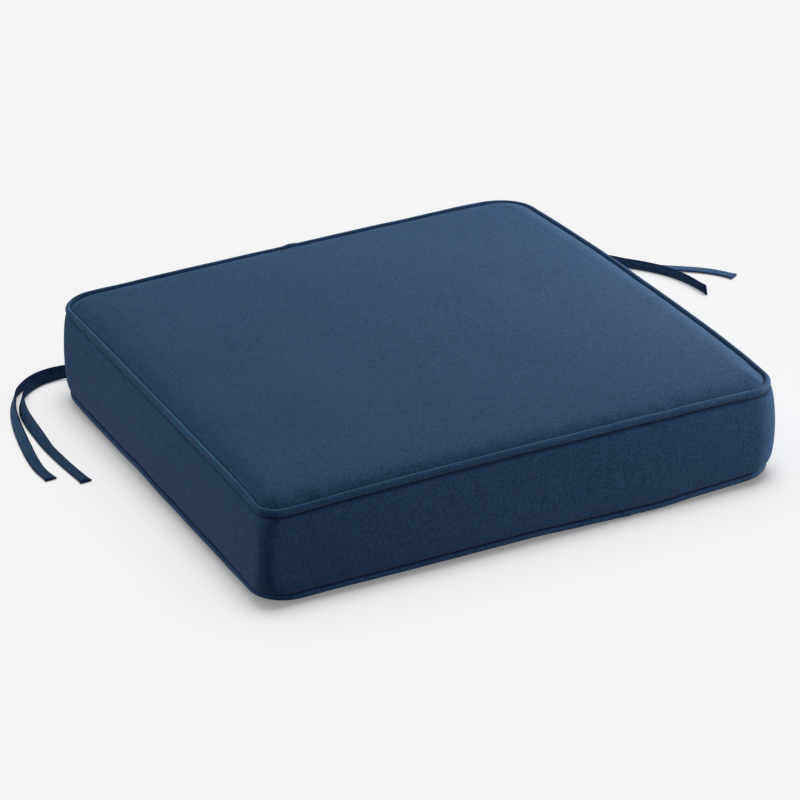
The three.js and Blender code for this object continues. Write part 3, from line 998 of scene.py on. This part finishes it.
def feed(tree, socket, value):
    """Gives an input a value of its own, or another node's output."""
    if isinstance(value, bpy.types.NodeSocket):
        tree.links.new(value, socket)
    else:
        socket.default_value = value


def new_node(tree, kind, *first_values, operation=None, group=None, **values):
    """A node with what is fed to its first inputs, and to others by name, with _ for blanks."""
    node = tree.nodes.new("ShaderNode" + kind)
    if operation:
        node.operation = operation
    if group:
        node.node_tree = group
    for socket, value in zip(node.inputs, first_values):
        feed(tree, socket, value)
    for label, value in values.items():
        feed(tree, node.inputs[label.replace("_", " ")], value)
    return node


def math_node(tree, operation, *values):
    return new_node(tree, "Math", *values, operation=operation).outputs[0]


def add_unevenness(tree, tone, change, strength):
    """tone, moved by how far change is from its middle, 0.5."""
    return math_node(tree, "MULTIPLY_ADD", math_node(tree, "SUBTRACT", change, 0.5), strength, tone)


def slub_tone(group, threads, stretch):
    """The uneven tone of threads, which changes slowly along them."""
    longer = new_node(group, "VectorMath", threads, stretch, operation="MULTIPLY").outputs[0]
    return new_node(group, "TexNoise", longer, **SLUB_GRAIN).outputs[0]


def canvas_weave():
    """Plain weave on the flat cloth: raised threads, and each thread's own tone."""
    group, given, result = new_group(
        "canvas_weave",
        [("Cloth", "Vector", None), ("Thread Pitch", "Float", 0.0008), ("Bias Angle", "Float", 0.0)],
        [("Height", "Float"), ("Thread Tone", "Float")],
    )
    turn = new_node(group, "VectorRotate", given["Cloth"], Angle=given["Bias Angle"])
    turn.rotation_type = "Z_AXIS"
    pitch = new_node(group, "CombineXYZ", *[given["Thread Pitch"]] * 3).outputs[0]
    threads = new_node(group, "VectorMath", turn.outputs[0], pitch, operation="DIVIDE").outputs[0]
    places = new_node(group, "SeparateXYZ", threads).outputs[:2]
    angles = (math_node(group, "MULTIPLY", place, math.pi) for place in places)
    warp_wave, weft_wave = (math_node(group, "SINE", angle) for angle in angles)
    bumps = math_node(group, "MULTIPLY", warp_wave, weft_wave)
    height = math_node(group, "POWER", math_node(group, "ABSOLUTE", bumps), THREAD_ROUNDNESS)
    warp_on_top = math_node(group, "GREATER_THAN", bumps, 0.0)
    weft_tone = slub_tone(group, threads, (SLUB_STRETCH, 1.0, 1.0))
    warp_tone = slub_tone(group, threads, (1.0, SLUB_STRETCH, 1.0))
    tone = new_node(group, "Mix", warp_on_top)
    feed(group, tone.inputs[2], weft_tone)
    feed(group, tone.inputs[3], warp_tone)
    feed(group, result["Height"], height)
    feed(group, result["Thread Tone"], tone.outputs[0])
    return group


def dye_unevenness():
    """Slow and fine changes of tone over the dyed cloth, from 0 to 1."""
    group, given, result = new_group(
        "dye_unevenness",
        [
            ("Place", "Vector", None),
            ("Fine Scale", "Float", FINE_SCALE),
            ("Broad Scale", "Float", BROAD_SCALE),
        ],
        [("Fine", "Float"), ("Broad", "Float")],
    )
    for label, detail in (("Fine", FINE_DETAIL), ("Broad", BROAD_DETAIL)):
        scale = given[label + " Scale"]
        noise = new_node(group, "TexNoise", given["Place"], Scale=scale, Detail=detail)
        feed(group, result[label], noise.outputs[0])
    return group


def dyed_canvas_and_painted_light():
    """The cloth's colour, from the tones of its threads and dye, which Painted Light Tone then takes
    from the painted shade colour at 0 to the cloth's own at 1, and to a painted highlight beyond,
    and its relief."""
    group, given, result = new_group(
        "dyed_canvas_and_painted_light",
        [
            ("Colour", "Color", None),
            ("Crease Colour", "Color", None),
            ("Thread Tone", "Float", 0.5),
            ("Thread Height", "Float", 0.0),
            ("Fine", "Float", 0.5),
            ("Broad", "Float", 0.5),
            ("Crease Tone", "Float", 1.0),
        ],
        [("Colour", "Color"), ("Height", "Float")],
    )
    tone = add_unevenness(group, 0.5, given["Fine"], FINE_STRENGTH)
    tone = add_unevenness(group, tone, given["Thread Tone"], THREAD_STRENGTH)
    tone = add_unevenness(group, tone, given["Broad"], BROAD_STRENGTH)
    tone.node.use_clamp = True
    brightness = math_node(group, "MULTIPLY_ADD", tone, 2 * TONE_RANGE, 1 - TONE_RANGE)
    cloth = new_node(group, "VectorMath", given["Colour"], operation="SCALE", Scale=brightness)
    with_painted_light = new_node(group, "Mix", given["Crease Tone"])
    with_painted_light.data_type = "RGBA"
    with_painted_light.clamp_factor = False
    feed(group, with_painted_light.inputs[6], given["Crease Colour"])
    feed(group, with_painted_light.inputs[7], cloth.outputs[0])
    feed(group, result["Colour"], with_painted_light.outputs[2])
    height = math_node(group, "MULTIPLY_ADD", given["Fine"], FINE_RELIEF, given["Thread Height"])
    feed(group, result["Height"], height)
    return group


def new_material(name):
    material = bpy.data.materials.new(name)
    material.use_nodes = True
    material.node_tree.nodes.clear()
    return material, material.node_tree


def canvas_material(finish, weave_group, dye_group, canvas_group):
    """A woven and dyed cloth, whose weave follows the piece's own flat cloth, darkened by the
    painted shade and lightened by the painted highlight held in the piece's tone.
    """
    material, tree = new_material(finish.name)
    cloth = new_node(tree, "UVMap")
    cloth.uv_map = "cloth"
    # The tone attribute holds the painted shade and painted highlight
    tone = new_node(tree, "Attribute")
    tone.attribute_name = "tone"
    weave = new_node(
        tree,
        "Group",
        group=weave_group,
        Cloth=cloth.outputs[0],
        Thread_Pitch=finish.thread_pitch,
        Bias_Angle=finish.bias_angle,
    ).outputs
    place = new_node(tree, "TexCoord").outputs["Object"]
    dye = new_node(tree, "Group", group=dye_group, Place=place).outputs
    canvas = new_node(
        tree,
        "Group",
        group=canvas_group,
        Colour=finish.colour,
        Crease_Colour=PAINTED_SHADE_COLOUR,
        Thread_Tone=weave["Thread Tone"],
        Thread_Height=weave["Height"],
        Fine=dye["Fine"],
        Broad=dye["Broad"],
        Crease_Tone=tone.outputs["Fac"],
    ).outputs
    bump = new_node(
        tree, "Bump", Strength=finish.relief, Distance=WEAVE_RELIEF, Height=canvas["Height"]
    )
    shader = new_node(
        tree,
        "BsdfPrincipled",
        Base_Color=canvas["Colour"],
        Normal=bump.outputs[0],
        Roughness=finish.roughness,
        Specular_IOR_Level=SPECULAR_LEVEL,
        Sheen_Weight=finish.sheen,
        Sheen_Roughness=SHEEN_ROUGHNESS,
        Sheen_Tint=SHEEN_TINT,
    )
    new_node(tree, "OutputMaterial", shader.outputs[0])
    return material


def dress(piece, material):
    piece.data.materials.clear()
    piece.data.materials.append(material)


# Floor and light


def make_floor():
    """A pale floor that gives the cushion little light back, so its sides stay deep in tone."""
    half = FLOOR_SIZE / 2
    corners = ((-half, -half, 0), (half, -half, 0), (half, half, 0), (-half, half, 0))
    floor = mesh_piece("floor", corners, [(0, 1, 2, 3)])
    material, tree = new_material("pale_floor")
    paint = new_node(tree, "BsdfDiffuse", Color=FLOOR_SEEN)
    glow = new_node(tree, "Emission", Strength=FLOOR_GLOW)
    seen = new_node(tree, "AddShader", paint.outputs[0], glow.outputs[0])
    bounce = new_node(tree, "BsdfDiffuse", Color=FLOOR_BOUNCE)
    to_camera = new_node(tree, "LightPath").outputs["Is Camera Ray"]
    choose = new_node(tree, "MixShader", to_camera, bounce.outputs[0], seen.outputs[0])
    new_node(tree, "OutputMaterial", choose.outputs[0])
    dress(floor, material)
    return floor


def lamp_group(name, pieces):
    """A collection that lamps can be told to light, and nothing else."""
    group = bpy.data.collections.new(name)
    for piece in pieces:
        group.objects.link(piece)
    return group


def hang_lamp(light, place, towards, lit):
    """A lamp that shines along towards, and lights only what is in lit."""
    lamp = bpy.data.objects.new(light.name, light)
    lamp.location = place
    lamp.rotation_mode = "QUATERNION"
    lamp.rotation_quaternion = (-Vector(towards)).to_track_quat("Z", "Y")
    lamp.light_linking.receiver_collection = lit
    bpy.context.scene.collection.objects.link(lamp)


def make_overhead_sun(sun, lit):
    light = bpy.data.lights.new(sun.name, "SUN")
    light.energy = sun.strength
    light.angle = math.radians(sun.spread)
    tilt = math.radians(SUN_TILT)
    hang_lamp(light, (0, 0, SUN_HEIGHT), (-math.sin(tilt), 0, -math.cos(tilt)), lit)


def make_softbox(box, lit):
    """A square lamp that faces the cushion."""
    light = bpy.data.lights.new(box.name, "AREA")
    light.energy = box.watts
    light.size = box.size
    light.color = box.colour
    hang_lamp(light, box.place, Vector(LAMP_AIM) - Vector(box.place), lit)


def make_sky():
    """An even white sky, only strong enough to lift the deepest shade."""
    world = bpy.data.worlds.new("studio")
    world.use_nodes = True
    background = world.node_tree.nodes["Background"]
    background.inputs["Color"].default_value = (*WHITE, 1.0)
    background.inputs["Strength"].default_value = SKY_STRENGTH
    bpy.context.scene.world = world


# Making

make_camera()
strips, stitches = zip(*(make_tie(name, route) for name, route in TIE_ROUTES.items()))
top_seam = make_seam(TOP_CORNERS, TOP_SEAM_HEIGHT)
bottom_seam = make_seam(BOTTOM_CORNERS, BOTTOM_SEAM_HEIGHT, BOTTOM_DIPS)
padded_box = sew_padded_box(top_seam, bottom_seam)
# Painted highlight on the top piping's crest, at the front and left only
crest = CREST_HIGHLIGHT * top_seam["front"] + LEFT_CREST_HIGHLIGHT * top_seam["left"]
# Painted shade on the top piping under its front, and beside the panel at the back and right
top_creases = (
    (PAINTED_SHADE_UNDER_FRONT * top_seam["front"], TOP_PAINTED_SHADE_ANGLE),
    (PIPING_PAINTED_SHADE_BESIDE_PANEL * top_seam["far"], PANEL_PAINTED_SHADE_ANGLE),
)
top_piping = sew_piping("top_piping", "piping_top", top_seam, TOP_JOIN, crest, top_creases)
no_crest = 0 * crest
# Painted shade on the bottom piping where it turns in under the boxing
bottom_creases = ((PAINTED_SHADE_OVER_BOTTOM, BOTTOM_PAINTED_SHADE_ANGLE),)
bottom_piping = sew_piping(
    "bottom_piping", "piping_bottom", bottom_seam, BOTTOM_JOIN, no_crest, bottom_creases
)

groups = (canvas_weave(), dye_unevenness(), dyed_canvas_and_painted_light())
piping_canvas = canvas_material(PIPING_FINISH, *groups)
tie_canvas = canvas_material(TIE_FINISH, *groups)
tie_thread = canvas_material(THREAD_FINISH, *groups)
dress(padded_box, canvas_material(PANEL_FINISH, *groups))
dress(top_piping, piping_canvas)
dress(bottom_piping, piping_canvas)
for strip, row in zip(strips, stitches):
    dress(strip, tie_canvas)
    dress(row, tie_thread)

floor = make_floor()
make_sky()
on_floor = lamp_group("lit_floor", [floor])
on_ties = lamp_group("lit_ties", strips + stitches)
on_cushion = lamp_group("lit_cushion", (padded_box, top_piping, bottom_piping) + strips + stitches)
for sun in FLOOR_SUNS:
    make_overhead_sun(sun, on_floor)
for softbox in CUSHION_SOFTBOXES:
    make_softbox(softbox, on_cushion)
for softbox in TIE_SOFTBOXES:
    make_softbox(softbox, on_ties)
bpy.context.scene.view_settings.view_transform = "Standard"
